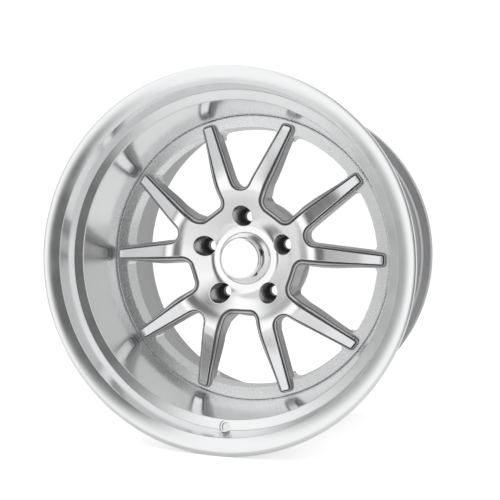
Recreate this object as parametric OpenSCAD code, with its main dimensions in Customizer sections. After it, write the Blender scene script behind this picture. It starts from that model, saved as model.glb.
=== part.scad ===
/* [Rim] */
// Width between the two tyre-side flange faces
rim_width = 304.8; // [270:0.1:330]
// Diameter of the bead seats
bead_seat_d = 462; // [440:0.1:485]
// Height of the flanges above the bead seat
flange_h = 17.5; // [15:0.1:20]
// Thickness of a flange, along the axle
flange_t = 13.1; // [11:0.1:16]
// Distance of the mounting face behind the middle of the rim
hub_offset = 0; // [-15:0.5:15]
// Wall of the shells
shell_wall = 5.4; // [4.5:0.1:8]
// Wall behind the bead seats
bead_wall = 6.5; // [5.5:0.1:8]

/* [Dish] */
// Depth of the first, wide part of the lip
lip_depth = 41.2; // [32:0.1:50]
// Radial height of the step behind it
step_h = 12.6; // [9:0.1:15]
// Slope of the step, as a rise along the axle
step_rise = 4.4; // [2:0.1:7]
// Fall of the lip's face from its outer to its inner edge
lip_fall = 5.7; // [3:0.1:8]
// Rounding of the flange tips
tip_round = 4.5; // [2:0.1:6]

/* [Centre] */
// Diameter of the seat that the centre sits in
seat_d = 406; // [380:1:420]
// Height of the joint line above the mounting face
seat_front = 22.5; // [15:0.5:26]
// Height of the outer ring's face above the mounting face
ring_face = 31.5; // [28:0.5:38]
// Height of the outer ring's back above the mounting face
ring_back = 1.5; // [0.5:0.5:6]
// Radial width of the outer ring
ring_w = 17; // [13:0.5:22]
// Height of the hub's floor around the cap
floor_h = 41.5; // [38:0.5:46]
// Height of the crest between hub and spokes
crest_h = 69.3; // [64:0.5:74]
// Radius of the crest line
crest_r = 104.8; // [100:0.2:110]
// Slope of the spokes' faces, in degrees
spoke_fall = 19; // [14:0.5:22]
// Slope of the hub bowl, in degrees
bowl_rise = 31.3; // [26:0.1:35]
// Depth of the spokes, front to back
spoke_depth = 21; // [18:0.5:26]
// Radius of the hub pad at the mounting face
pad_r = 86; // [82:0.5:92]

/* [Windows] */
// Half angle of the narrow windows, in degrees
narrow_angle = 24.9; // [22:0.1:26]
// Radius of the narrow windows' inner ends
narrow_round = 16.1; // [12:0.1:18]
// Distance from the axle to the narrow windows
narrow_start = 94.5; // [92:0.5:100]
// Half angle of the wide windows, in degrees
wide_angle = 15.1; // [12:0.1:16.5]
// Radius of the wide windows' inner corners
wide_round = 17.5; // [14:0.1:20]
// Half width of the wide windows' straight inner edge
wide_flat = 12; // [8:0.1:14]
// Distance from the axle to the wide windows
wide_start = 71.3; // [68:0.5:76]
// Width of the ledge inside each window
ledge_w = 4.1; // [1:0.1:5]
// Depth of the ledge below the face
ledge_depth = 3.3; // [2:0.1:9]
// Radius of the windows' outer corners
window_round = 8; // [5:0.5:10]

/* [Hub] */
// Diameter of the bolt circle
bolt_circle = 120; // [112:0.5:124]
// Turn of the bolt circle against the spokes, in degrees
bolt_turn = 2.1; // [0:0.1:4]
// Diameter of the lug pockets
pocket_d = 28.5; // [26:0.1:30]
// Height of the lug pockets' floor above the mounting face
pocket_floor = 15; // [12:0.5:20]
// Diameter of the bolt holes through the seats
bolt_d = 14.5; // [12.5:0.1:16]
// Diameter of the centre bore
bore_d = 72.6; // [66:0.1:73]
// Diameter of the bore for the cap
cap_bore_d = 74; // [73.6:0.1:76]
// Depth of the bore for the cap
cap_bore_depth = 15; // [12:0.5:20]

/* [Cap] */
// Height of the cap above the hub's floor
cap_h = 25; // [18:0.5:28]
// Diameter of the cap's flat face
cap_face_d = 57; // [48:0.5:60]
// Rounding of the cap's edge
cap_round = 4; // [2:0.1:6]
// Wall of the cap
cap_wall = 3; // [2.4:0.1:4]
// Thickness of the cap's sealing ring
seal_d = 3; // [2:0.1:3.4]

/* [Valve hole] */
// Diameter of the valve hole
valve_d = 11.3; // [8.3:0.1:12]
// Diameter of the recess around it
valve_recess_d = 16.6; // [14:0.1:18]
// Depth of the recess
valve_recess_depth = 2; // [1:0.1:3]
// Distance of the valve hole beyond the middle of the step, along the radius
valve_out = 2.1; // [0:0.1:2.5]
// Place of the valve hole around the rim, in degrees
valve_turn = 270; // [255:0.5:285]

/* [Hidden] */
$fn = 64;
lug_count = 5;
sector = 360 / lug_count;
top = 90;
past = 5;

// Clearances, on the radius
seat_gap = 0.05;
cap_gap = 0.1;
insert_gap = 0.02;

// Rim stations, measured along the axle from the mounting face, which is at zero
half_rim = rim_width / 2 + flange_t;
front_y = -half_rim - hub_offset;
rear_y = half_rim - hub_offset;
bead_r = bead_seat_d / 2;
flange_r = bead_r + flange_h;
step_r = bead_r - bead_wall;
lip_draft = 1.5;
lip_r = step_r + lip_draft;
dish_r = step_r - step_h;
seat_r = seat_d / 2;
well_r = seat_r + shell_wall;
step_y = front_y + lip_depth;
dish_y = step_y + step_rise;
joint_behind = 10.5;
joint_y = joint_behind - seat_front;
seat_past = 14;
seat_end_y = seat_past - ring_back;
tip_back = 4;
toe_r = 6.5;
bead_len = 17;
bead_drop = 1.6;
hump_drop = 0.4;
hump_len = 2;
rear_band = 35;
rear_flare = 0.6;
cone_end_y = rear_y - rear_band;
flare_y = rear_y - flange_t;
rear_edge_r = bead_r + rear_flare;

// Centre stations
ring_r = seat_r - seat_gap;
window_r = seat_r - ring_w;
bevel_w = 1.5;
spoke_end_w = 9;
spoke_end_r = seat_r - spoke_end_w;
end_slope = 1.5;
crest_bend = 40;
bend_in_r = crest_r - crest_bend * sin(bowl_rise);
bend_out_r = crest_r + crest_bend * sin(spoke_fall);
bowl_top_h = crest_h - crest_bend * (1 - cos(bowl_rise));
floor_r = bend_in_r - (bowl_top_h - floor_h) / tan(bowl_rise);
bend_out_h = crest_h - crest_bend * (1 - cos(spoke_fall));
pad_edge = 5.5;
cone_inset = 1;
cone_top_r = wide_start - cone_inset;
cone_top_h = 52;
cone_sink = 3;
back_r = 112;
bore_chamfer = 2;
core_r = 25;
hub_flare = 8;
hub_flare_h = 35.5;

// Bought-in and welded pieces
bush_wall = 3.75;
bush_r = bolt_d / 2 + bush_wall;
seat_head = 5;
seat_end = 0.3;
seat_cone_h = 8.6;
seat_half_angle = 30;
groove = 2.6;
weld_crown = 0.8;
weld_leg = 6;
weld_fill = 0.65;
cap_lean = 15;
cap_shoulder = 1;
seal_play = 0.2;

// Height of the spokes' front face and of their back at a radius
function face_h(r) = bend_out_h - (r - bend_out_r) * tan(spoke_fall);
function back_h(r) = face_h(r) - spoke_depth;
// Points along an arc, with angles in degrees
function arc(cx, cy, r, from, to, steps) =
    [for (i = [0:steps]) [cx + r * cos(from + (to - from) * i / steps), cy + r * sin(from + (to - from) * i / steps)]];

// Sections are drawn as radius and place along the axle, and turned about the axle
module turned() {
    rotate([-90, 0, 0]) rotate_extrude() children();
}

// Tyre side of one flange, from its tip to the hump; dir is 1 at the front and -1 at the rear
function tyre_side(edge_y, dir) = concat(
    arc(flange_r - tip_back, edge_y + dir * (flange_t - tip_back), tip_back, 0, dir * 90, 4),
    arc(bead_r + toe_r, edge_y + dir * (flange_t + toe_r), toe_r, -dir * 90, -dir * 180, 4),
    [[bead_r - bead_drop, edge_y + dir * (flange_t + toe_r + bead_len)],
    [bead_r - hump_drop, edge_y + dir * (flange_t + toe_r + bead_len + hump_len)],
    [bead_r - hump_drop, edge_y + dir * (flange_t + toe_r + bead_len + 2 * hump_len)]]);

module outer_section() {
    front_side = concat(
        arc(flange_r - tip_round, front_y + tip_round, tip_round, 0, -90, 4),
        [[lip_r, front_y + lip_fall], [step_r, step_y], [dish_r, dish_y], [seat_r, -seat_front], [seat_r, joint_y]]);
    well_side = [[well_r - groove, joint_y], [well_r, joint_y - groove], [well_r, -seat_front],
        [dish_r + shell_wall, dish_y + shell_wall], [bead_r - bead_drop, step_y + shell_wall]];
    tyre = tyre_side(front_y, 1);
    polygon(concat(front_side, well_side, [for (i = [len(tyre) - 1:-1:0]) tyre[i]]));
}

module inner_section() {
    inside = [[seat_r, joint_y], [seat_r, seat_end_y], [step_r, cone_end_y], [step_r, flare_y],
        [rear_edge_r, rear_y]];
    tip = arc(flange_r - tip_round, rear_y - tip_round, tip_round, 90, 0, 4);
    well_side = [[well_r, seat_end_y + shell_wall], [well_r, joint_y + groove], [well_r - groove, joint_y]];
    polygon(concat(inside, tip, tyre_side(rear_y, -1), well_side));
}

// Puts a shape on the step's face, its Z axis square to the step and pointing out of the dish
module valve_axis() {
    slope = atan(step_rise / step_h);
    along = step_h / 2 + valve_out;
    rotate([0, -valve_turn, 0]) translate([dish_r + along, dish_y - along * tan(slope), 0])
        rotate([0, 0, -slope]) rotate([90, 0, 0]) children();
}

module outer_shell() {
    color([0.86, 0.87, 0.88]) difference() {
        turned() outer_section();
        valve_axis() translate([0, 0, -valve_recess_depth]) cylinder(d = valve_recess_d, h = lip_depth);
        valve_axis() cylinder(d = valve_d, h = lip_depth * 2, center = true);
    }
}

module inner_shell() {
    color([0.62, 0.63, 0.64]) turned() inner_section();
}

module girth_weld() {
    color([0.66, 0.66, 0.66]) turned() polygon([
        [well_r - groove + insert_gap, joint_y], [well_r + insert_gap, joint_y - groove],
        [well_r + weld_crown, joint_y - groove / 2], [well_r + weld_crown, joint_y + groove / 2],
        [well_r + insert_gap, joint_y + groove]]);
}

// Section of the centre, its face lowered by drop
module centre_section(drop) {
    polygon(concat(
        [[core_r, -floor_h + drop], [floor_r, -floor_h + drop]],
        arc(crest_r, -crest_h + crest_bend + drop, crest_bend, -90 - bowl_rise, -90 + spoke_fall, 8),
        [[spoke_end_r, -face_h(spoke_end_r) + drop], [spoke_end_r + end_slope, -ring_face + drop],
        [spoke_end_r + end_slope, -back_h(spoke_end_r)], [back_r, -back_h(back_r)],
        [pad_r + hub_flare, -hub_flare_h], [pad_r, -pad_edge], [pad_r, 0], [core_r, 0]]));
}

// Windows lie with their axis along +Y and their sides running out to a given length; inset makes
// them smaller all round
module narrow_window(inset, side_len) {
    r = narrow_round - inset;
    cy = narrow_start + narrow_round;
    side = [sin(narrow_angle), cos(narrow_angle)];
    foot = [r * side[1], cy - r * side[0]];
    far = foot + side_len * side;
    translate([0, cy]) circle(r);
    polygon([foot, far, [-far[0], far[1]], [-foot[0], foot[1]]]);
}

module wide_window(inset, side_len) {
    r = wide_round - inset;
    cy = wide_start + wide_round;
    side = [sin(wide_angle), cos(wide_angle)];
    foot = [wide_flat + r * side[1], cy - r * side[0]];
    far = foot + side_len * side;
    for (x = [-wide_flat, wide_flat]) translate([x, cy]) circle(r);
    polygon([[wide_flat, cy - r], foot, far, [-far[0], far[1]], [-foot[0], foot[1]], [-wide_flat, cy - r]]);
}

// Keeps a window inside the outer ring and rounds its outer corners. A side runs at angle to the
// window's axis, and off is its distance from the axle.
module closed(angle, off) {
    away = window_r - window_round;
    bearing = angle + asin((off - window_round) / away);
    corner = away * [sin(bearing), cos(bearing)];
    touch = corner + window_round * [cos(angle), -sin(angle)];
    edge = (window_r + past) * [sin(bearing), cos(bearing)];
    intersection() {
        children();
        union() {
            polygon([touch, [touch[0], 0], [-touch[0], 0], [-touch[0], touch[1]], [-corner[0], corner[1]], corner]);
            intersection() {
                polygon([[0, 0], edge, [0, window_r * 2], [-edge[0], edge[1]]]);
                circle(window_r);
            }
            for (s = [-1, 1]) translate([s * corner[0], corner[1]]) circle(window_round);
        }
    }
}

// All windows as one outline: open ones run out past the rim, closed ones end at the outer ring
module windows(inset, is_closed) {
    narrow_off = narrow_round - inset - (narrow_start + narrow_round) * sin(narrow_angle);
    wide_off = wide_flat * cos(wide_angle) + wide_round - inset
        - (wide_start + wide_round) * sin(wide_angle);
    for (i = [0:lug_count - 1]) {
        rotate(i * sector)
            if (is_closed) closed(narrow_angle, narrow_off) narrow_window(inset, seat_d);
            else narrow_window(inset, seat_d);
        rotate((i + 0.5) * sector)
            if (is_closed) closed(wide_angle, wide_off) wide_window(inset, seat_d);
            else wide_window(inset, seat_d);
    }
}

module cut_windows(inset, is_closed) {
    rotate([90, 0, 0]) translate([0, 0, -past])
        linear_extrude(crest_h + 2 * past) windows(inset, is_closed);
}

module spokes() {
    difference() {
        turned() centre_section(0);
        cut_windows(0, false);
    }
    difference() {
        turned() centre_section(ledge_depth);
        cut_windows(ledge_w, false);
    }
}

module outer_ring() {
    root_r = window_r - window_round * 2;
    difference() {
        turned() polygon([[root_r, -ring_face], [ring_r - bevel_w, -ring_face], [ring_r, -seat_front],
            [ring_r, -ring_back], [window_r, -ring_back], [root_r, -back_h(root_r)]]);
        cut_windows(ledge_w, true);
    }
}

// Body of the hub under the bowl, flaring down to the pad
module hub_cone() {
    turned() polygon([[core_r, cone_sink - floor_h], [floor_r, cone_sink - floor_h], [cone_top_r, -cone_top_h],
        [pad_r, -pad_edge], [pad_r, 0], [core_r, 0]]);
}

module at_bolts(i) {
    rotate([0, -(top + i * sector + bolt_turn), 0]) translate([bolt_circle / 2, 0, 0]) children();
}

// A cylinder along the axle between two heights above the mounting face
module bored(r, low, high) {
    rotate([90, 0, 0]) translate([0, 0, low]) cylinder(r = r, h = high - low);
}

module forged_centre() {
    color([0.78, 0.79, 0.8]) difference() {
        union() {
            spokes();
            outer_ring();
            hub_cone();
        }
        bored(bore_d / 2, -past, floor_h + past);
        bored(cap_bore_d / 2, floor_h - cap_bore_depth, floor_h + past);
        turned() polygon([[core_r, past], [bore_d / 2 + bore_chamfer + past, past],
            [bore_d / 2, -bore_chamfer], [core_r, -bore_chamfer]]);
        for (i = [0:lug_count - 1]) at_bolts(i) {
            bored(pocket_d / 2, pocket_floor, crest_h + past);
            bored(bush_r, -past, pocket_floor + past);
        }
    }
}

module centre_weld() {
    color([0.66, 0.66, 0.66]) turned() polygon([[seat_r - seat_gap - weld_leg, -ring_back],
        [seat_r - seat_gap, -ring_back], [seat_r - seat_gap, weld_leg - ring_back],
        [seat_r - weld_leg * (1 - weld_fill), weld_leg * weld_fill - ring_back]]);
}

module lug_seat(i) {
    head_r = pocket_d / 2 - insert_gap;
    bolt_r = bolt_d / 2;
    head_h = pocket_floor + seat_head;
    mouth_r = bolt_r + seat_cone_h * tan(seat_half_angle);
    color([0.12, 0.12, 0.13]) at_bolts(i) turned() polygon([[bolt_r, -seat_end], [bush_r - insert_gap, -seat_end],
        [bush_r - insert_gap, -pocket_floor], [head_r, -pocket_floor], [head_r, -head_h],
        [mouth_r, -head_h], [bolt_r, seat_cone_h - head_h]]);
}

module centre_cap() {
    base_r = cap_bore_d / 2 - cap_gap;
    face_r = cap_face_d / 2;
    top_y = -floor_h - cap_h;
    foot_y = -floor_h + cap_bore_depth;
    hollow_r = base_r - cap_wall - seal_d;
    groove_y = (foot_y - floor_h) / 2;
    groove_r = base_r - seal_d;
    groove_half = seal_d / 2 + seal_play;
    edge = arc(face_r, top_y + cap_round, cap_round, -90, -cap_lean, 4);
    color([0.93, 0.93, 0.94]) turned() polygon(concat([[0, top_y]], edge,
        [[base_r - cap_shoulder, -floor_h - cap_shoulder], [base_r, -floor_h], [base_r, groove_y - groove_half],
        [groove_r, groove_y - groove_half], [groove_r, groove_y + groove_half],
        [base_r, groove_y + groove_half], [base_r, foot_y], [hollow_r, foot_y], [hollow_r, -floor_h],
        [face_r - cap_wall / 2, top_y + cap_round + cap_wall], [face_r - cap_wall, top_y + cap_wall],
        [0, top_y + cap_wall]]));
}

module cap_seal() {
    seal_r = cap_bore_d / 2 - cap_gap / 2 - seal_d / 2;
    color([0.05, 0.05, 0.05]) turned() translate([seal_r, -floor_h + cap_bore_depth / 2]) circle(d = seal_d);
}

outer_shell();
inner_shell();
girth_weld();
forged_centre();
centre_weld();
lug_seat(0);  // lug_seat_1
lug_seat(1);  // lug_seat_2
lug_seat(2);  // lug_seat_3
lug_seat(3);  // lug_seat_4
lug_seat(4);  // lug_seat_5
centre_cap();
cap_seal();
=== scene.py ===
import math
import bpy
import bmesh
import numpy as np
from mathutils import Matrix, Vector
from mathutils.geometry import delaunay_2d_cdt


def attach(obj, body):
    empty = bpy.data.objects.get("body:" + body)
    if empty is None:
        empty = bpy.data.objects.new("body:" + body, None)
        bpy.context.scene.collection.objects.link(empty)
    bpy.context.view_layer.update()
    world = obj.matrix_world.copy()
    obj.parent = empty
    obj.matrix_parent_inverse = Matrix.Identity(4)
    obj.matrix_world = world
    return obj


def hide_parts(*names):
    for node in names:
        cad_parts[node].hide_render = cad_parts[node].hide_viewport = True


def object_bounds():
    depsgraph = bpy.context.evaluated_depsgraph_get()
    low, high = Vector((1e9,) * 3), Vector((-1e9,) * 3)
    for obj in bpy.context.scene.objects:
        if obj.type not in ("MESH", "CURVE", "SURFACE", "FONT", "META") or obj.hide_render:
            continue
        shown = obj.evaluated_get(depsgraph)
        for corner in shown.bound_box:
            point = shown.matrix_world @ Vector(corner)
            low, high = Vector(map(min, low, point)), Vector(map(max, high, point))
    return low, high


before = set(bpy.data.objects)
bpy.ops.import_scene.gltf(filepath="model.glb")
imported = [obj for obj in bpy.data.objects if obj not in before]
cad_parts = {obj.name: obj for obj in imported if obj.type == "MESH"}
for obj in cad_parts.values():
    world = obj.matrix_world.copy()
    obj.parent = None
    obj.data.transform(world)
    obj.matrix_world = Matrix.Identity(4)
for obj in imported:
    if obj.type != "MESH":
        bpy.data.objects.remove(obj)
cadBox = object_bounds()
mm = 0.001  # every size below is in millimetres, and the scene is in metres


# camera, floor and light

shot = {"distance": 1008.9, "around": 18.561, "above": 2.095, "behindLip": 165.5, "clock": 2.7,
        "yaw": 2.397, "pitch": -0.800, "roll": 1.939, "lens": 57.22, "sensor": 36.0}


def makeCamera():
    around, above = math.radians(shot["around"]), math.radians(shot["above"])
    place = Vector((math.sin(around) * math.cos(above), -math.cos(around) * math.cos(above), math.sin(above)))
    turn = (place.to_track_quat("Z", "Y").to_matrix()
            @ Matrix.Rotation(math.radians(-shot["yaw"]), 3, "Y")
            @ Matrix.Rotation(math.radians(-shot["pitch"]), 3, "X")
            @ Matrix.Rotation(math.radians(-shot["roll"]), 3, "Z"))
    # the rim stands turned a little on its axle
    clock = Matrix.Rotation(math.radians(-shot["clock"]), 3, "Y")
    spot = clock @ (place * shot["distance"]) - Vector((0, shot["behindLip"], 0))
    camera = bpy.data.objects.new("camera", bpy.data.cameras.new("camera"))
    camera.data.sensor_width = shot["sensor"]
    camera.data.lens = shot["lens"]
    camera.data.clip_start = 0.01
    bpy.context.scene.view_settings.view_transform = "Standard"  # so that the white surround stays white
    camera.matrix_world = Matrix.Translation(spot * mm) @ (clock @ turn).to_4x4()
    bpy.context.collection.objects.link(camera)
    bpy.context.scene.camera = camera


# the camera sees the surround and the floor brighter than they light the wheel
# patches are soft shades in the surround: around, above, half width, half height, softness, change
studio = {"surround": 1.1, "seenSurround": 1.06, "floorRadius": 1100.0, "floorGlow": 0.55,
          "patches": [(12, 13, 18, 38, 9, -0.95), (-54, 4, 18, 36, 9, -0.66), (56, 0, 12, 24, 9, -0.35),
                      (165, 6, 48, 44, 20, -0.52), (-165, 6, 48, 44, 20, -0.52)]}


def wire(tree, kind, values=(), links=(), **settings):
    node = tree.nodes.new(kind)
    for name, value in settings.items():
        setattr(node, name, value)
    for socket, value in dict(values).items():
        node.inputs[socket].default_value = value
    for socket, source in dict(links).items():
        tree.links.new(source, node.inputs[socket])
    return node


def makeWorld():
    world = bpy.data.worlds.new("studio")
    bpy.context.scene.world = world
    world.use_nodes = True
    tree = world.node_tree
    tree.nodes.clear()
    way = wire(tree, "ShaderNodeTexCoord")
    axes = wire(tree, "ShaderNodeSeparateXYZ", links={0: way.outputs["Generated"]})
    back = wire(tree, "ShaderNodeMath", {1: -1.0}, {0: axes.outputs["Y"]}, operation="MULTIPLY")
    around = wire(tree, "ShaderNodeMath", links={0: axes.outputs["X"], 1: back.outputs[0]},
                  operation="ARCTAN2")
    above = wire(tree, "ShaderNodeMath", links={0: axes.outputs["Z"]}, operation="ARCSINE")
    total = studio["surround"]
    for azimuth, height, wide, tall, soft, change in studio["patches"]:
        sides = []
        for angle, middle, half in ((around, azimuth, wide), (above, height, tall)):
            off = wire(tree, "ShaderNodeMath", {1: math.radians(middle)}, {0: angle.outputs[0]},
                       operation="SUBTRACT")
            size = wire(tree, "ShaderNodeMath", links={0: off.outputs[0]}, operation="ABSOLUTE")
            edge = wire(tree, "ShaderNodeMapRange",
                        {1: math.radians(half + soft), 2: math.radians(half - soft)},
                        {0: size.outputs[0]}, interpolation_type="SMOOTHSTEP")
            sides.append(edge.outputs[0])
        both = wire(tree, "ShaderNodeMath", links={0: sides[0], 1: sides[1]}, operation="MULTIPLY")
        step = wire(tree, "ShaderNodeMath", {1: change, 2: 0.0}, {0: both.outputs[0]},
                    operation="MULTIPLY_ADD")
        if isinstance(total, float):
            step.inputs[2].default_value = total
        else:
            tree.links.new(total, step.inputs[2])
        total = step.outputs[0]
    path = wire(tree, "ShaderNodeLightPath")
    seen = wire(tree, "ShaderNodeMix", {3: studio["seenSurround"]},
                {0: path.outputs["Is Camera Ray"], 2: total}, data_type="FLOAT")
    sky = wire(tree, "ShaderNodeBackground", {"Color": (1, 1, 1, 1)}, links={"Strength": seen.outputs[0]})
    wire(tree, "ShaderNodeOutputWorld", links={0: sky.outputs[0]})


def makeFloor(lowest):
    mesh = bmesh.new()
    bmesh.ops.create_circle(mesh, cap_ends=True, segments=96, radius=studio["floorRadius"] * mm)
    bmesh.ops.translate(mesh, verts=mesh.verts, vec=(0, 0, lowest))
    floor = newObject("floor", mesh)
    finish = bpy.data.materials.new("floor_white")
    finish.use_nodes = True
    shader = finish.node_tree.nodes["Principled BSDF"]
    shader.inputs["Base Color"].default_value = (0.92, 0.92, 0.92, 1)
    shader.inputs["Roughness"].default_value = 0.8
    shader.inputs["Emission Color"].default_value = (1, 1, 1, 1)
    path = wire(finish.node_tree, "ShaderNodeLightPath")
    glow = wire(finish.node_tree, "ShaderNodeMath", {1: studio["floorGlow"]},
                {0: path.outputs["Is Camera Ray"]}, operation="MULTIPLY")
    finish.node_tree.links.new(glow.outputs[0], shader.inputs["Emission Strength"])
    floor.data.materials.append(finish)


def newObject(name, mesh):
    data = bpy.data.meshes.new(name)
    mesh.to_mesh(data)
    mesh.free()
    thing = bpy.data.objects.new(name, data)
    bpy.context.collection.objects.link(thing)
    return thing


# finishes

def startMaterial(name, colour, metallic, roughness, **fixed):
    finish = bpy.data.materials.new(name)
    finish.use_nodes = True
    shader = finish.node_tree.nodes["Principled BSDF"]
    shader.inputs["Base Color"].default_value = (*colour, 1)
    shader.inputs["Metallic"].default_value = metallic
    shader.inputs["Roughness"].default_value = roughness
    for socket, value in fixed.items():
        shader.inputs[socket].default_value = value
    return finish, finish.node_tree, shader


def latheGrain(tree, across, along):
    # coordinates that run long around the axle and short across it, as tool marks do
    place = wire(tree, "ShaderNodeTexCoord")
    axes = wire(tree, "ShaderNodeSeparateXYZ", links={0: place.outputs["Object"]})
    flat = wire(tree, "ShaderNodeCombineXYZ", links={0: axes.outputs["X"], 2: axes.outputs["Z"]})
    radius = wire(tree, "ShaderNodeVectorMath", links={0: flat.outputs[0]}, operation="LENGTH")
    unit = wire(tree, "ShaderNodeVectorMath", links={0: flat.outputs[0]}, operation="NORMALIZE")
    turned = wire(tree, "ShaderNodeVectorMath", {3: along}, {0: unit.outputs[0]}, operation="SCALE")
    depth = wire(tree, "ShaderNodeMath", links={0: radius.outputs["Value"], 1: axes.outputs["Y"]},
                 operation="ADD")
    fine = wire(tree, "ShaderNodeMath", {1: across}, {0: depth.outputs[0]}, operation="MULTIPLY")
    step = wire(tree, "ShaderNodeCombineXYZ", links={1: fine.outputs[0]})
    return wire(tree, "ShaderNodeVectorMath", links={0: turned.outputs[0], 1: step.outputs[0]},
                operation="ADD").outputs[0]


def plainGrain(tree, scale):
    place = wire(tree, "ShaderNodeTexCoord")
    return wire(tree, "ShaderNodeVectorMath", {3: scale}, {0: place.outputs["Object"]},
                operation="SCALE").outputs[0]


def varied(tree, grain, low, high, detail=4.0):
    noise = wire(tree, "ShaderNodeTexNoise", {"Scale": 1.0, "Detail": detail}, {"Vector": grain})
    return wire(tree, "ShaderNodeMapRange", {1: 0.3, 2: 0.7, 3: low, 4: high}, {0: noise.outputs[0]}), noise


def tint(tree, shader, amount, dark, light):
    mix = wire(tree, "ShaderNodeMix", {6: (*dark, 1), 7: (*light, 1)}, {0: amount}, data_type="RGBA")
    tree.links.new(mix.outputs[2], shader.inputs["Base Color"])


def bumped(tree, shader, height, strength, distance):
    bump = wire(tree, "ShaderNodeBump", {"Strength": strength, "Distance": distance * mm}, {"Height": height})
    tree.links.new(bump.outputs[0], shader.inputs["Normal"])


def polishedAlloy():
    finish, tree, shader = startMaterial("polished_alloy", (0.84, 0.845, 0.85), 1.0, 0.17)
    haze, cloud = varied(tree, plainGrain(tree, 28.0), 0.14, 0.22)
    tree.links.new(haze.outputs[0], shader.inputs["Roughness"])
    tint(tree, shader, cloud.outputs[0], (0.8, 0.805, 0.812), (0.88, 0.885, 0.89))
    marks = wire(tree, "ShaderNodeTexNoise", {"Scale": 1.0, "Detail": 3.0},
                 {"Vector": latheGrain(tree, 1600.0, 3.0)})
    bumped(tree, shader, marks.outputs[0], 0.05, 0.05)
    return finish


def satinAlloy():
    finish, tree, shader = startMaterial("satin_alloy", (0.5, 0.505, 0.51), 1.0, 0.36)
    rough, cloud = varied(tree, latheGrain(tree, 900.0, 4.0), 0.3, 0.44)
    tree.links.new(rough.outputs[0], shader.inputs["Roughness"])
    tint(tree, shader, cloud.outputs[0], (0.44, 0.443, 0.448), (0.56, 0.563, 0.57))
    bumped(tree, shader, cloud.outputs[0], 0.12, 0.1)
    return finish


def machinedAlloy():
    finish, tree, shader = startMaterial("machined_alloy", (0.93, 0.93, 0.935), 1.0, 0.19, Anisotropic=0.45)
    tangent = wire(tree, "ShaderNodeTangent", direction_type="RADIAL", axis="Y")
    tree.links.new(tangent.outputs[0], shader.inputs["Tangent"])
    rough, cuts = varied(tree, latheGrain(tree, 2600.0, 2.0), 0.14, 0.24)
    tree.links.new(rough.outputs[0], shader.inputs["Roughness"])
    tint(tree, shader, cuts.outputs[0], (0.9, 0.9, 0.905), (0.97, 0.97, 0.975))
    bumped(tree, shader, cuts.outputs[0], 0.1, 0.04)
    return finish


def windowSilver():
    finish, tree, shader = startMaterial("window_silver", (0.84, 0.845, 0.85), 0.9, 0.26,
                                         **{"Coat Weight": 0.4, "Coat Roughness": 0.1})
    rough, flake = varied(tree, plainGrain(tree, 260.0), 0.24, 0.29, 2.0)
    tree.links.new(rough.outputs[0], shader.inputs["Roughness"])
    tint(tree, shader, flake.outputs[0], (0.81, 0.815, 0.82), (0.85, 0.855, 0.86))
    return finish


# darker silver for the window walls and ledges: partly the walls' own darker paint, partly painted shade for
# the depth of the windows
def wallSilverAndShade():
    finish, tree, shader = startMaterial("wall_silver_and_painted_shade", (0.62, 0.623, 0.63), 0.9, 0.36)
    rough, flake = varied(tree, plainGrain(tree, 800.0), 0.3, 0.44, 2.0)
    tree.links.new(rough.outputs[0], shader.inputs["Roughness"])
    tint(tree, shader, flake.outputs[0], (0.55, 0.552, 0.556), (0.68, 0.682, 0.686))
    return finish


def paintedShadeSilver():
    # painted shade: the steps and lips beside the spokes get a dark silver that stands in for the shade in
    # those tight corners
    finish, tree, shader = startMaterial("painted_shade_silver", (0.2, 0.2, 0.205), 0.9, 0.4)
    rough, flake = varied(tree, plainGrain(tree, 700.0), 0.34, 0.46, 2.0)
    tree.links.new(rough.outputs[0], shader.inputs["Roughness"])
    tint(tree, shader, flake.outputs[0], (0.11, 0.11, 0.112), (0.18, 0.18, 0.182))
    return finish


def weldMetal():
    finish, tree, shader = startMaterial("weld_metal", (0.62, 0.62, 0.62), 1.0, 0.42)
    rough, soot = varied(tree, plainGrain(tree, 220.0), 0.34, 0.55)
    tree.links.new(rough.outputs[0], shader.inputs["Roughness"])
    tint(tree, shader, soot.outputs[0], (0.42, 0.42, 0.43), (0.72, 0.72, 0.72))
    return finish


def blackSteel():
    finish, tree, shader = startMaterial("black_steel", (0.14, 0.14, 0.145), 0.7, 0.38)
    rough, wear = varied(tree, plainGrain(tree, 500.0), 0.3, 0.48)
    tree.links.new(rough.outputs[0], shader.inputs["Roughness"])
    tint(tree, shader, wear.outputs[0], (0.1, 0.1, 0.104), (0.2, 0.2, 0.206))
    bumped(tree, shader, wear.outputs[0], 0.1, 0.05)
    return finish


def brightCap():
    finish, tree, shader = startMaterial("bright_cap", (0.93, 0.93, 0.935), 1.0, 0.1)
    rough, spin = varied(tree, latheGrain(tree, 2400.0, 1.5), 0.07, 0.16)
    tree.links.new(rough.outputs[0], shader.inputs["Roughness"])
    tint(tree, shader, spin.outputs[0], (0.9, 0.9, 0.905), (0.95, 0.95, 0.955))
    return finish


def sealRubber():
    finish, tree, shader = startMaterial("seal_rubber", (0.02, 0.02, 0.02), 0.0, 0.6)
    rough, dust = varied(tree, plainGrain(tree, 700.0), 0.5, 0.7)
    tree.links.new(rough.outputs[0], shader.inputs["Roughness"])
    tint(tree, shader, dust.outputs[0], (0.015, 0.015, 0.015), (0.035, 0.035, 0.035))
    return finish


# turned pieces: a section of (radius, place along the axle, corner radius) points

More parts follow.
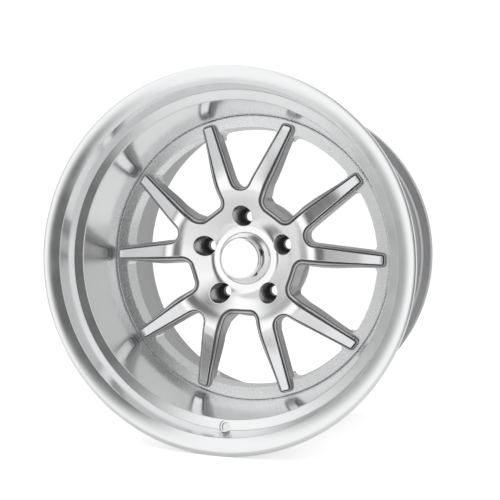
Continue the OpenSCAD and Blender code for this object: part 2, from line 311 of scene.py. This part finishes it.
def softenCorners(points, hold=0.4):
    # each corner becomes an arc, with a point a little way along both sides to keep those sides straight
    section = []
    for index, (radius, place, corner) in enumerate(points):
        here = np.array([radius, place])
        if corner <= 0:
            section.append(here)
            continue
        before = np.array(points[index - 1][:2]) - here
        after = np.array(points[(index + 1) % len(points)][:2]) - here
        u, v = before / np.linalg.norm(before), after / np.linalg.norm(after)
        half = math.acos(max(-1.0, min(1.0, float(u @ v)))) / 2
        reach = min(corner / math.tan(half), np.linalg.norm(before) * 0.45, np.linalg.norm(after) * 0.45)
        corner = reach * math.tan(half)
        bisector = (u + v) / np.linalg.norm(u + v)
        middle = here + bisector * corner / math.sin(half)
        start, end = here + u * reach - middle, here + v * reach - middle
        sweep = math.pi - 2 * half
        steps = max(2, round(math.degrees(sweep) / 12))
        section.append(here + u * (reach + hold))
        for k in range(steps + 1):
            t = k / steps
            arm = start * math.sin((1 - t) * sweep) + end * math.sin(t * sweep)
            section.append(middle + arm / math.sin(sweep))
        section.append(here + v * (reach + hold))
    return section


def turnedMesh(section, steps, ripple=None):
    mesh = bmesh.new()
    rows = []
    for k in range(steps):
        angle = 2 * math.pi * k / steps
        row = []
        for radius, place in section:
            if ripple:
                radius, place = ripple(radius, place, angle)
            spot = (radius * math.cos(angle) * mm, place * mm, radius * math.sin(angle) * mm)
            row.append(mesh.verts.new(spot))
        rows.append(row)
    count = len(section)
    for k in range(steps):
        near, far = rows[k], rows[(k + 1) % steps]
        for i in range(count):
            mesh.faces.new((near[i], near[(i + 1) % count], far[(i + 1) % count], far[i]))
    bmesh.ops.remove_doubles(mesh, verts=mesh.verts, dist=1e-6)
    bmesh.ops.recalc_face_normals(mesh, faces=mesh.faces)
    return mesh


def smoothed(thing, angle=35.0):
    thing.data.shade_smooth()
    thing.data.set_sharp_from_angle(angle=math.radians(angle))


shells = {"flange": 248.5, "bead": 231.0, "front": -165.5, "rear": 165.5, "flangeThick": 13.1,
          "lip": 226.0, "lipFall": 5.7, "step": 224.5, "stepAt": -124.3, "dish": 211.9, "dishAt": -119.9,
          "seat": 203.0, "seatAt": -22.5, "joint": -12.0, "seatEnd": 12.5, "wall": 5.4, "steps": 288}


def tyreSide(edge, way):
    # from the flange's tip over the bead seat to the hump
    bead, thick = shells["bead"], shells["flangeThick"]
    return [(shells["flange"], edge + way * 0.1, 4.2), (shells["flange"], edge + way * thick, 3.8),
            (bead, edge + way * thick, 6.3), (bead - 1.6, edge + way * (thick + 23.5), 3.0),
            (bead - 0.4, edge + way * (thick + 25.5), 1.5), (bead - 0.4, edge + way * (thick + 27.5), 1.0)]


# slope of the rolled lip face, in degrees
lipRoll = {"start": 3.0, "end": 23.5, "early": 0.6, "outer": 245.5}


def lipFace():
    # the lip's face rolls over from nearly flat at its rim to steep at its inner edge
    points = []
    inner, outer = shells["lip"], lipRoll["outer"]
    share = np.linspace(0, 1, 16) ** lipRoll["early"]
    slopes = np.radians(lipRoll["start"] + (lipRoll["end"] - lipRoll["start"]) * share)
    drops = np.concatenate([[0], np.cumsum(np.tan(slopes[:-1]))])
    drops *= shells["lipFall"] / drops[-1]
    for radius, drop in zip(np.linspace(outer, inner, 16), drops):
        points.append((radius, shells["front"] + drop, 0))
    return points


def outerShell():
    s = shells
    rolled = lipFace()
    rolled[-1] = (*rolled[-1][:2], 1.0)
    inside = [(s["step"], s["stepAt"], 1.2), (s["dish"], s["dishAt"], 1.6),
              (s["seat"], s["seatAt"], 1.0), (s["seat"], s["joint"], 0)]
    well = s["seat"] + s["wall"]
    outside = [(well - 2.6, s["joint"], 0), (well, s["joint"] - 2.6, 0.6), (well, s["seatAt"], 6.0),
               (s["dish"] + s["wall"], s["dishAt"] + s["wall"], 4.0),
               (s["bead"] - 1.6, s["stepAt"] + s["wall"], 3.0)]
    tyre = tyreSide(s["front"], 1)
    section = softenCorners(rolled + inside + outside + tyre[::-1])
    shell = newObject("polished_outer_shell", turnedMesh(section, s["steps"]))
    drillValveHole(shell)
    smoothed(shell)
    shell.data.materials.append(polishedAlloy())
    return shell


valve = {"hole": 5.65, "recess": 8.3, "depth": 2.0, "out": 2.1, "turn": 270.0}


def drillValveHole(shell):
    s = shells
    slope = math.atan2(s["dishAt"] - s["stepAt"], s["step"] - s["dish"])
    along = (s["step"] - s["dish"]) / 2 + valve["out"]
    spot = Vector((s["dish"] + along, s["dishAt"] - along * math.tan(slope), 0)) * mm
    turn = Matrix.Rotation(math.radians(-valve["turn"]), 4, "Y")
    lean = Matrix.Rotation(-slope, 4, "Z") @ Matrix.Rotation(math.radians(90), 4, "X")
    for radius, deep in ((valve["recess"], valve["depth"]), (valve["hole"], 40.0)):
        cutter = bmesh.new()
        bmesh.ops.create_cone(cutter, cap_ends=True, segments=72, radius1=radius * mm, radius2=radius * mm,
                              depth=(40.0 + deep) * mm)
        bmesh.ops.translate(cutter, verts=cutter.verts, vec=(0, 0, (40.0 - deep) / 2 * mm))
        bmesh.ops.transform(cutter, verts=cutter.verts, matrix=turn @ Matrix.Translation(spot) @ lean)
        tool = newObject("valve_drill", cutter)
        cut = shell.modifiers.new("drill", "BOOLEAN")
        cut.object = tool
        cut.operation = "DIFFERENCE"
        cut.solver = "EXACT"
        applyModifiers(shell)
        bpy.data.objects.remove(tool)


def applyModifiers(thing):
    graph = bpy.context.evaluated_depsgraph_get()
    plain = bpy.data.meshes.new_from_object(thing.evaluated_get(graph))
    thing.modifiers.clear()
    thing.data = plain


def innerShell():
    s = shells
    cone = s["rear"] - 35.0
    inside = [(s["seat"], s["joint"], 0), (s["seat"], s["seatEnd"], 5.0), (s["step"], cone, 5.0),
              (s["step"], s["rear"] - s["flangeThick"], 4.0), (s["bead"] + 0.6, s["rear"], 2.5)]
    tip = [(s["flange"], s["rear"] - 0.05, 4.2)]
    well = s["seat"] + s["wall"]
    outside = [(well, s["seatEnd"] + s["wall"], 5.0), (well, s["joint"] + 2.6, 0.6),
               (well - 2.6, s["joint"], 0)]
    tyre = tyreSide(s["rear"], -1)[1:]
    section = softenCorners(inside + tip + tyre + outside)
    barrel = newObject("satin_inner_shell", turnedMesh(section, s["steps"]))
    smoothed(barrel)
    barrel.data.materials.append(satinAlloy())
    return barrel


# forged centre: one sector of five, made about the axle and repeated

centre = {"count": 5, "narrowAngle": 24.9, "narrowRound": 16.1, "narrowStart": 94.5,
          "wideAngle": 15.1, "wideRound": 17.5, "wideFlat": 12.0, "wideStart": 71.3,
          "spokeEnd": 194.0, "endCorner": 1.6, "windowEnd": 186.0, "windowCorner": 8.0,
          "ledge": 4.1, "ledgeDepth": 3.3, "edge": 0.7, "draft": 2.5,
          "floor": 41.5, "crest": 69.3, "crestAt": 104.8, "bowlRise": 31.3, "spokeFall": 19.0, "bend": 40.0,
          "spokeDepth": 23.0, "wideLedge": 1.55, "wideFrom": 120.0, "wideTo": 180.0,
          "wideShare": 0.225, "wideBlend": 6,
          "pad": 86.0, "padEdge": 5.5, "flare": 94.0, "flareHeight": 35.5, "backAt": 112.0,
          "coneTop": 70.3, "coneHeight": 52.0,
          "ringFace": 31.5, "ringBack": 1.5, "ring": 202.95,
          "bevel": 1.2, "bevelHeight": 30.3, "seatHeight": 22.5, "lean": 0.6,
          "bore": 36.3, "capBore": 37.0, "capDepth": 15.0, "chamfer": 2.0,
          "boltCircle": 60.0, "boltTurn": 2.1, "pocket": 14.25, "pocketFloor": 15.0, "bush": 11.0}


def arcPoints(middle, radius, start, end, count):
    angles = np.radians(np.linspace(start, end, count))
    return np.stack([middle[0] + radius * np.cos(angles), middle[1] + radius * np.sin(angles)], 1)


def bearing(point):
    return math.degrees(math.atan2(point[1], point[0]))


def cornerOn(line, way, radius):
    # the point of a line that lies at a distance from the axle
    along = -(line @ way) + math.sqrt((line @ way) ** 2 - line @ line + radius ** 2)
    return line + way * along


def turnedBy(points, degrees):
    c, s = math.cos(math.radians(degrees)), math.sin(math.radians(degrees))
    return np.stack([points[..., 0] * c - points[..., 1] * s, points[..., 0] * s + points[..., 1] * c], -1)


def windowSides():
    # middle of each window's inner corner, the way its side runs, and the way into the spoke
    c = centre
    narrow, wide = math.radians(c["narrowAngle"]), math.radians(c["wideAngle"])
    return ((np.array([0.0, c["narrowStart"] + c["narrowRound"]]),
             np.array([math.sin(narrow), math.cos(narrow)]), np.array([math.cos(narrow), -math.sin(narrow)])),
            (np.array([-c["wideFlat"], c["wideStart"] + c["wideRound"]]),
             np.array([-math.sin(wide), math.cos(wide)]), np.array([-math.cos(wide), -math.sin(wide)])))


def joinRuns(runs, between):
    # straight stretches between the arcs get evenly spaced points of their own
    points = [runs[0]]
    for run, count in zip(runs[1:], between):
        steps = np.linspace(0, 1, count + 2)[1:-1, None]
        points += [points[-1][-1] * (1 - steps) + run[0] * steps, run]
    return np.concatenate(points)


def mirrored(half):
    return np.concatenate([(half * [-1, 1])[:0:-1], half])


def spokeOutline(out):
    # edge of the two half spokes of a sector, moved out into the windows
    c = centre
    (narrowMiddle, narrowWay, narrowIn), (wideMiddle, wideWay, wideIn) = windowSides()
    tip = c["spokeEnd"] - c["endCorner"]
    first = cornerOn(narrowMiddle + narrowIn * (c["narrowRound"] + c["endCorner"]), narrowWay, tip)
    second = cornerOn(wideMiddle + wideIn * (c["wideRound"] + c["endCorner"]), wideWay, tip)
    round1, round2 = c["narrowRound"] - out, c["wideRound"] - out
    halfTurn = -180 / c["count"]
    runs = [arcPoints(narrowMiddle, round1, -90, -c["narrowAngle"], 16),
            arcPoints(first, c["endCorner"] + out, 180 - c["narrowAngle"], bearing(first), 7),
            arcPoints((0, 0), c["spokeEnd"] + out, bearing(first), bearing(second) + halfTurn, 9)[1:-1],
            turnedBy(arcPoints(second, c["endCorner"] + out, bearing(second), c["wideAngle"], 7), halfTurn),
            turnedBy(arcPoints(wideMiddle, round2, 180 + c["wideAngle"], 270, 20), halfTurn),
            turnedBy(np.array([[0, c["wideStart"] + out]]), halfTurn)]
    return mirrored(joinRuns(runs, (34, 0, 0, 40, 4)))


def wallOutline(out):
    # the ledge is broader along the wide windows, and narrows again towards the ring
    c = centre
    flat, broad = spokeOutline(out), spokeOutline(out * c["wideLedge"])
    place = np.abs(np.arange(len(flat)) - len(flat) // 2)
    wide = np.clip((place - len(flat) * c["wideShare"]) / c["wideBlend"], 0, 1)
    inner = np.clip((c["wideTo"] - radiusOf(flat)) / (c["wideTo"] - c["wideFrom"]), 0, 1)
    share = (wide * inner * inner * (3 - 2 * inner))[:, None]
    return flat * (1 - share) + broad * share


def ringOutline(out):
    # inner edge of the outer ring: the windows' outer ends, and straight across behind each spoke
    c = centre
    (narrowMiddle, narrowWay, narrowIn), (wideMiddle, wideWay, wideIn) = windowSides()
    corner, end = c["windowCorner"], c["windowEnd"]
    narrowPoint = narrowMiddle + narrowIn * (c["narrowRound"] - c["ledge"] - corner)
    widePoint = wideMiddle + wideIn * (c["wideRound"] - c["ledge"] - corner)
    first = cornerOn(narrowPoint, narrowWay, end - corner)
    second = cornerOn(widePoint, wideWay, end - corner)
    halfTurn = -180 / c["count"]
    runs = [arcPoints((0, 0), end - out, 90, bearing(first), 12),
            arcPoints(first, corner - out, bearing(first), -c["narrowAngle"], 10),
            turnedBy(arcPoints(second, corner - out, 180 + c["wideAngle"], bearing(second), 10), halfTurn),
            turnedBy(arcPoints((0, 0), end - out, bearing(second), 90, 12), halfTurn)]
    return mirrored(joinRuns(runs, (0, 5, 0)))


def frontHeight(radius):
    # height of the face over the hub pad: floor, bowl, rounded crest, falling spokes
    c = centre
    rise, fall, bend = math.radians(c["bowlRise"]), math.radians(c["spokeFall"]), c["bend"]
    bowlEnd, fallStart = c["crestAt"] - bend * math.sin(rise), c["crestAt"] + bend * math.sin(fall)
    def sharp(r):
        bowl = c["crest"] - bend * (1 - math.cos(rise)) - (bowlEnd - r) * math.tan(rise)
        over = c["crest"] - bend + np.sqrt(np.maximum(bend ** 2 - (r - c["crestAt"]) ** 2, 0))
        down = c["crest"] - bend * (1 - math.cos(fall)) - (r - fallStart) * math.tan(fall)
        return np.maximum(np.where(r < bowlEnd, bowl, np.where(r > fallStart, down, over)), c["floor"])
    radius = np.asarray(radius, float)
    return np.mean([sharp(radius + step) for step in np.linspace(-3.6, 3.6, 13)], axis=0)


def backHeight(radius):
    c = centre
    radius = np.asarray(radius, float)
    spoke = frontHeight(np.maximum(radius, c["backAt"])) - c["spokeDepth"]
    start = float(frontHeight(c["backAt"])) - c["spokeDepth"]
    shoulder = np.interp(radius, [c["pad"], c["flare"], c["backAt"]], [c["padEdge"], c["flareHeight"], start])
    return np.where(radius > c["backAt"], spoke, shoulder)


def coneHeight(radius):
    c = centre
    return np.interp(radius, [c["coneTop"], c["pad"]], [c["coneHeight"], c["padEdge"]])


def inside(points, loop):
    x, z = points[:, 0:1], points[:, 1:2]
    x0, z0 = loop[:, 0][None], loop[:, 1][None]
    x1, z1 = np.roll(loop[:, 0], -1)[None], np.roll(loop[:, 1], -1)[None]
    crosses = (z0 > z) != (z1 > z)
    rise = np.where(z1 == z0, 1.0, z1 - z0)
    return (crosses & (x < x0 + (z - z0) * (x1 - x0) / rise)).sum(1) % 2 == 1


def clearOf(points, edge, gap):
    away = points[:, None, :] - edge[None, :, :]
    return np.min(np.hypot(away[..., 0], away[..., 1]), 1) > gap


def fillFace(loop, holes, radii, spacing):
    # triangles over a face seen along the axle, with points on circles so that its slope is smooth
    rows = []
    reach = 180 / centre["count"]
    for radius in radii:
        count = max(3, round(math.radians(2 * reach) * radius / spacing))
        rows.append(arcPoints((0, 0), radius, 90 - reach, 90 + reach, count)[1:-1])
    points = np.concatenate(rows)
    points = points[inside(points, loop)]
    for edge in [loop] + holes:
        points = points[clearOf(points, edge, spacing * 0.55)]
    for hole in holes:
        points = points[~inside(points, hole)]
    loops, edges = [loop] + holes, []
    start = 0
    for edge in loops:
        edges += [(start + i, start + (i + 1) % len(edge)) for i in range(len(edge))]
        start += len(edge)
    corners = np.concatenate(loops + [points])
    result = delaunay_2d_cdt([Vector(p) for p in corners.tolist()], edges, [], 0, 1e-5)
    spots = np.array([(v.x, v.y) for v in result[0]])
    faces = np.array(result[2])
    corners = spots[faces]
    u, v = corners[:, 1] - corners[:, 0], corners[:, 2] - corners[:, 0]
    keep = inside(corners.mean(1), loop) & (np.abs(u[:, 0] * v[:, 1] - u[:, 1] * v[:, 0]) > 1e-4)
    for hole in holes:
        keep &= ~inside(corners.mean(1), hole)
    return spots, faces[keep]


class SectorMesh:
    # collects the faces of one sector, as points (x, height over the pad, z) in millimetres

    def __init__(self):
        self.mesh = bmesh.new()
        self.finish = self.mesh.faces.layers.int.new("finish")

    def addFaces(self, points, faces, finish):
        verts = [self.mesh.verts.new((x * mm, -height * mm, z * mm)) for x, height, z in points]
        for face in faces:
            corners = [verts[i] for i in face]
            self.mesh.faces.new(corners)[self.finish] = finish

    def addStrip(self, rows, finish, closed=False):
        rows = [np.asarray(row) for row in rows]
        count = len(rows[0])
        faces = []
        for k in range(len(rows) - 1):
            for i in range(count if closed else count - 1):
                j = (i + 1) % count
                faces.append((k * count + i, k * count + j, (k + 1) * count + j, (k + 1) * count + i))
        self.addFaces(np.concatenate(rows), faces, finish)


def at(flat, height):
    height = np.broadcast_to(height, (len(flat),))
    return np.stack([flat[:, 0], height, flat[:, 1]], 1)


def radiusOf(flat):
    return np.hypot(flat[:, 0], flat[:, 1])


# finish 2 (recess) is painted shade: a dark silver standing in for the shade in the steps beside the spokes
machined, satin, recess, wallPaintAndShade = 0, 1, 2, 3  # which finish a face of the centre gets


def rounding(size, steps=5):
    # points of a quarter round: how far out, how far down
    turn = np.linspace(0, math.pi / 2, steps)
    return [(-size + size * math.sin(t), size - size * math.cos(t)) for t in turn]


def spokePart(sector):
    c = centre
    edge, ledge, deep = c["edge"], c["ledge"], c["ledgeDepth"]
    profile = [(-edge - 0.35, 0.0)] + rounding(edge)
    rows = []
    for out, down in profile:
        flat = spokeOutline(out)
        rows.append(at(flat, frontHeight(radiusOf(flat)) - down))
    faceEdge = spokeOutline(profile[0][0])
    sector.addStrip(rows, machined)
    step = [(0.0, edge), (0.25, edge + 0.4), (1.0, deep - 0.6), (1.4, deep - 0.15), (1.9, deep + 0.1)]
    fall = [(1.9, deep + 0.1), (2.2, deep + 0.2), (ledge - 1.0, deep + 0.9), (ledge - 0.7, deep + 1.05)]
    lip = [(ledge - 0.7, deep + 1.05), (ledge - 0.35, deep + 1.3), (ledge - 0.1, deep + 1.75),
           (ledge, deep + 2.4)]
    # the step and lip bands beside the spokes get the dark silver as painted shade
    for finish, profile in ((recess, step), (wallPaintAndShade, fall), (recess, lip)):
        rows = []
        for out, down in profile:
            flat = wallOutline(out)
            rows.append(at(flat, frontHeight(radiusOf(flat)) - down))
        sector.addStrip(rows, finish)
    rows = rows[-1:]
    low, inner = wallOutline(ledge + c["draft"]), wallOutline(ledge + c["draft"] - 0.8)
    far = radiusOf(low)
    onCone = far < c["pad"]
    floorAt = np.where(onCone, coneHeight(far), backHeight(np.maximum(far, c["pad"] + 0.01)))
    ledgeRow = rows[-1]
    for share in (0.33, 0.66):
        flat = low * share + ledgeRow[:, [0, 2]] * (1 - share)
        rows.append(at(flat, ledgeRow[:, 1] * (1 - share) + (floorAt + 0.8) * share))
    rows.append(at(low, floorAt + 0.8))
    rows.append(at(inner * 0.4 + low * 0.6, floorAt + 0.25))
    unit = low / far[:, None]
    foot = np.where(onCone[:, None], low, inner)
    innerFar = np.maximum(radiusOf(inner), c["pad"])
    footAt = np.where(onCone, floorAt, backHeight(np.maximum(innerFar, c["pad"] + 0.01)))
    rows.append(at(foot, footAt))
    outer = np.where(onCone[:, None], unit * c["pad"], foot)
    outerAt = np.where(onCone, c["padEdge"], footAt)
    rows.append(at(outer, outerAt))
    # the deep window walls get the darker wall silver, partly their own paint and partly painted shade
    sector.addStrip(rows, wallPaintAndShade)
    return faceEdge, outer, onCone


def pocketCircle(radius, count=48):
    c = centre
    turn = math.radians(90 + c["boltTurn"])
    middle = (c["boltCircle"] * math.cos(turn), c["boltCircle"] * math.sin(turn))
    return arcPoints(middle, radius, 0, 360, count + 1)[:-1]


def hubPart(sector, faceEdge, outer, onCone):
    c = centre
    reach = 180 / c["count"]
    lip = 0.6
    mouth = arcPoints((0, 0), c["capBore"] + lip + 0.4, 90 + reach, 90 - reach, 31)
    steps = np.linspace(0, 1, 16)[1:-1, None]
    leftSide = faceEdge[0] * steps + mouth[0] * (1 - steps)
    rightSide = mouth[-1] * steps + faceEdge[-1] * (1 - steps)
    loop = np.concatenate([mouth[::-1], leftSide, faceEdge, rightSide[::-1]])
    pocketMouth = pocketCircle(c["pocket"] + 1.1)
    radii = np.concatenate([np.arange(39.5, 46, 1.6), np.arange(46, 50.5, 0.75), np.arange(52, 192, 2.0)])
    spots, faces = fillFace(loop, [pocketMouth], radii, 2.2)
    sector.addFaces(at(spots, frontHeight(radiusOf(spots))), faces, machined)

    rows = []
    for out, down in [(-1.1, 0.0)] + rounding(0.75):
        flat = pocketCircle(c["pocket"] - out)
        rows.append(at(flat, frontHeight(radiusOf(flat)) - down))
    sector.addStrip(rows, machined, closed=True)
    wall, bush = pocketCircle(c["pocket"]), pocketCircle(c["bush"])
    top = frontHeight(radiusOf(wall)) - 0.75
    sector.addStrip([at(wall, top), at(wall, top - 0.4), at(wall, c["pocketFloor"] + 0.4),
                     at(wall, c["pocketFloor"])], satin, closed=True)
    sector.addStrip([at(wall, c["pocketFloor"]), at(bush, c["pocketFloor"])], satin, closed=True)
    sector.addStrip([at(bush, c["pocketFloor"]), at(bush, 0.5), at(pocketCircle(c["bush"] + 0.5), 0.0)],
                    satin, closed=True)

    boreRows = [(c["capBore"] + lip + 0.4, c["floor"])]
    boreRows += [(c["capBore"] - out, c["floor"] - down) for out, down in rounding(lip, 4)]
    boreRows += [(c["capBore"], c["floor"] - 1.2), (c["capBore"], c["floor"] - c["capDepth"]),
                 (c["bore"], c["floor"] - c["capDepth"]), (c["bore"], c["chamfer"]),
                 (c["bore"] + c["chamfer"], 0)]
    sector.addStrip([at(arcPoints((0, 0), radius, 90 + reach, 90 - reach, 31), height)
                     for radius, height in boreRows], machined)

    # back of the spokes, and the pad that meets the hub
    free = np.where(~onCone)[0]
    spokeEdge = outer[free[0]:free[-1] + 1]
    start, end = bearing(outer[free[0]]), bearing(outer[free[-1]])
    underSpokes = arcPoints((0, 0), c["pad"], start, end, 25)
    padRow = np.concatenate([outer[:free[0]], underSpokes, outer[free[-1] + 1:]])
    radii = np.concatenate([[88, 90, 92, 94], np.arange(98, 195, 4.5)])
    backLoop = np.concatenate([spokeEdge, underSpokes[1:-1][::-1]])
    spots, faces = fillFace(backLoop, [], radii, 4.5)
    heights = backHeight(np.maximum(radiusOf(spots), c["pad"] + 0.001))
    sector.addFaces(at(spots, heights), faces[:, ::-1], satin)
    rim = 0.6
    rows = [at(padRow, c["padEdge"]), at(padRow, c["padEdge"] - 0.5), at(padRow, rim + 0.4), at(padRow, rim)]
    inward = padRow / radiusOf(padRow)[:, None] * (c["pad"] - rim)
    sector.addStrip(rows + [at(inward, 0.0)], satin)
    inner = arcPoints((0, 0), c["bore"] + c["chamfer"], 90 + reach, 90 - reach, 31)
    leftSide = inward[0] * steps + inner[0] * (1 - steps)
    rightSide = inner[-1] * steps + inward[-1] * (1 - steps)
    padLoop = np.concatenate([inner[::-1], leftSide, inward, rightSide[::-1]])
    spots, faces = fillFace(padLoop, [pocketCircle(c["bush"] + 0.5)], np.arange(42, 84, 6.0), 6.0)
    sector.addFaces(at(spots, 0.0), faces[:, ::-1], machined)


def ringPart(sector):
    c = centre
    face, back, outside = c["ringFace"], c["ringBack"], c["ring"]
    inner = ringOutline(-1.1)
    bearings = np.unwrap(np.arctan2(inner[:, 1], inner[:, 0]))
    even = np.linspace(bearings[0], bearings[-1], len(inner))
    sweep = np.degrees(np.minimum.accumulate(bearings) * 0.85 + even * 0.15)
    def circle(radius):
        return np.stack([radius * np.cos(np.radians(sweep)), radius * np.sin(np.radians(sweep))], 1)
    rows = [at(circle(outside - 0.6), back), at(circle(outside), back + 0.6), at(circle(outside), back + 1.2),
            at(circle(outside), c["seatHeight"]), at(circle(outside + c["lean"]), c["bevelHeight"] - 0.4),
            at(circle(outside + c["lean"] - 0.3), c["bevelHeight"] + 0.3)]
    slope = (face - c["bevelHeight"]) / c["bevel"]
    top = outside - c["bevel"]
    rows += [at(circle(top + 0.5), face - 0.5 * slope), at(circle(top + 0.2), face - 0.15),
             at(circle(top - 0.3), face), at(circle(top - 0.8), face)]
    rows += [at(inner, face)]
    for out, down in rounding(0.8):
        rows.append(at(ringOutline(out), face - down))
    rows += [at(ringOutline(0.05), face - 1.3), at(ringOutline(0.4), back + 1.2),
             at(ringOutline(0.4), back + 0.8), at(ringOutline(0.15), back + 0.2),
             at(ringOutline(-0.4), back), at(ringOutline(-0.9), back),
             at(circle(outside - 1.2), back), at(circle(outside - 0.6), back)]
    sector.addStrip(rows[::-1], satin)


def sectorToWheel(piece, finishes):
    # one sector is set out around the axle and welded to its neighbours
    tree = bpy.data.node_groups.new("spokes_around_axle", "GeometryNodeTree")
    tree.interface.new_socket(name="Sector", in_out="INPUT", socket_type="NodeSocketGeometry")
    sectors = tree.interface.new_socket(name="Sectors", in_out="INPUT", socket_type="NodeSocketInt")
    weld = tree.interface.new_socket(name="Weld distance", in_out="INPUT", socket_type="NodeSocketFloat")
    tree.interface.new_socket(name="Wheel", in_out="OUTPUT", socket_type="NodeSocketGeometry")
    given = wire(tree, "NodeGroupInput").outputs
    dots = wire(tree, "GeometryNodePoints", links={"Count": given["Sectors"]})
    number = wire(tree, "GeometryNodeInputIndex")
    pitch = wire(tree, "ShaderNodeMath", {0: 2 * math.pi}, {1: given["Sectors"]}, operation="DIVIDE")
    angle = wire(tree, "ShaderNodeMath", links={0: number.outputs[0], 1: pitch.outputs[0]},
                 operation="MULTIPLY")
    turn = wire(tree, "ShaderNodeCombineXYZ", links={"Y": angle.outputs[0]})
    copies = wire(tree, "GeometryNodeInstanceOnPoints",
                  links={"Points": dots.outputs[0], "Instance": given["Sector"], "Rotation": turn.outputs[0]})
    whole = wire(tree, "GeometryNodeRealizeInstances", links={0: copies.outputs[0]})
    welded = wire(tree, "GeometryNodeMergeByDistance",
                  links={"Geometry": whole.outputs[0], "Distance": given["Weld distance"]})
    last = welded.outputs[0]
    kind = wire(tree, "GeometryNodeInputNamedAttribute", {"Name": "finish"}, data_type="INT")
    for number, finish in enumerate(finishes):
        same = wire(tree, "FunctionNodeCompare", {3: number}, {2: kind.outputs[0]},
                    data_type="INT", operation="EQUAL")
        dress = wire(tree, "GeometryNodeSetMaterial", {"Material": finish},
                     {"Geometry": last, "Selection": same.outputs[0]})
        last = dress.outputs[0]
    wire(tree, "NodeGroupOutput", links={0: last})
    maker = piece.modifiers.new("spokes_around_axle", "NODES")
    maker.node_group = tree
    maker[sectors.identifier] = centre["count"]
    maker[weld.identifier] = 0.02 * mm
    applyModifiers(piece)


def forgedCentre():
    sector = SectorMesh()
    hubPart(sector, *spokePart(sector))
    ringPart(sector)
    mesh = sector.mesh
    bmesh.ops.remove_doubles(mesh, verts=mesh.verts, dist=0.01 * mm)
    bmesh.ops.dissolve_degenerate(mesh, edges=mesh.edges, dist=0.005 * mm)
    piece = newObject("forged_centre_spokes", mesh)
    sectorToWheel(piece, [machinedAlloy(), windowSilver(), paintedShadeSilver(), wallSilverAndShade()])
    whole = bmesh.new()
    whole.from_mesh(piece.data)
    gaps = [edge for edge in whole.edges if len(edge.link_faces) == 1]
    bmesh.ops.holes_fill(whole, edges=gaps, sides=6)
    bmesh.ops.recalc_face_normals(whole, faces=whole.faces)
    unclosed = sum(len(edge.link_faces) != 2 for edge in whole.edges)
    print("forged centre:", len(whole.faces), "faces,", unclosed, "open edges")
    whole.to_mesh(piece.data)
    whole.free()
    smoothed(piece, 32)
    return piece


# cap and welds

cap = {"foot": -26.5, "base": 36.9, "floor": -41.5, "top": -66.5, "face": 28.5, "edge": 4.0, "wall": 3.0,
       "hollow": 30.9, "groove": 33.9, "grooveAt": -34.0, "grooveHalf": 1.7, "steps": 192}


def centreCap():
    k = cap
    lean = 1.035  # where the side meets the flat face's level, as a share of the face's radius
    grooveFront, grooveBack = k["grooveAt"] - k["grooveHalf"], k["grooveAt"] + k["grooveHalf"]
    section = [(0.0, k["top"], 0), (k["face"] * lean, k["top"], k["edge"]),
               (k["base"] - 1.0, k["floor"] - 1.0, 0.5), (k["base"], k["floor"], 0.3),
               (k["base"], grooveFront, 0.2), (k["groove"], grooveFront, 0),
               (k["groove"], grooveBack, 0), (k["base"], grooveBack, 0.2),
               (k["base"], k["foot"], 0.4), (k["hollow"], k["foot"], 0.4), (k["hollow"], k["floor"], 1.0),
               (k["face"] - k["wall"], k["top"] + k["wall"], 3.0), (0.0, k["top"] + k["wall"], 0)]
    piece = newObject("billet_centre_cap", turnedMesh(softenCorners(section, 0.3), k["steps"]))
    smoothed(piece, 30)
    piece.data.materials.append(brightCap())
    return piece


welds = {"ripples": 170, "wave": 0.35, "steps": 1020, "crown": 0.8, "groove": 2.6, "leg": 6.0, "at": -1.5}


def weldBead(name, section, lift):
    # a bead of overlapping ripples; lift tells how far and which way a ripple moves a point of the section
    def ripple(radius, place, angle):
        wave = welds["wave"] * abs(math.sin(angle * welds["ripples"] / 2))
        out, along = lift(radius, place)
        return radius + wave * out, place + wave * along
    bead = newObject(name, turnedMesh(softenCorners(section, 0.1), welds["steps"], ripple))
    smoothed(bead, 50)
    bead.data.materials.append(weldMetal())
    return bead


def girthBead():
    s, w = shells, welds
    well, joint, groove = s["seat"] + s["wall"] + 0.02, s["joint"], w["groove"]
    shoulder, halfway = well + w["crown"] * 0.7, groove * 0.55
    section = [(well - groove, joint, 0), (well, joint - groove, 0), (shoulder, joint - halfway, 0.6),
               (well + w["crown"], joint, 1.0), (shoulder, joint + halfway, 0.6), (well, joint + groove, 0)]
    def lift(radius, place):
        return (-0.8, 0) if radius > well + 0.2 else (0, 0)
    return weldBead("girth_bead", section, lift)


def filletBead():
    c, w = centre, welds
    foot, top = w["at"], w["at"] + w["leg"]
    face = c["ring"] - w["leg"] * 0.38
    section = [(c["ring"] - w["leg"], foot, 0), (face, foot + w["leg"] * 0.62, 1.4),
               (c["ring"], top, 0), (c["ring"], foot, 0)]
    def lift(radius, place):
        inward = place > foot + 0.3 and radius < c["ring"] - 0.3
        return (0.5, -0.5) if inward else (0, 0)
    return weldBead("fillet_bead", section, lift)


def main():
    makeCamera()
    makeWorld()
    makeFloor(cadBox[0][2])
    print("camera, surround and floor are up")
    made = [(outerShell(), "outer_shell", "polished_alloy"), (innerShell(), "inner_shell", "satin_alloy"),
            (forgedCentre(), "forged_centre", "machined_alloy"), (girthBead(), "girth_weld", "weld_metal"),
            (filletBead(), "centre_weld", "weld_metal")]
    print("shells and centre are made")
    capPiece = centreCap()
    for piece, node, slot in made:
        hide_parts(node)
        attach(piece, "wheel")
    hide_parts("centre_cap")
    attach(capPiece, "cap")
    steel, rubber = blackSteel(), sealRubber()
    for name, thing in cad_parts.items():
        finish = rubber if name == "cap_seal" else steel
        for place in range(len(thing.material_slots)):
            thing.material_slots[place].material = finish
    print("finishes are on")


main()
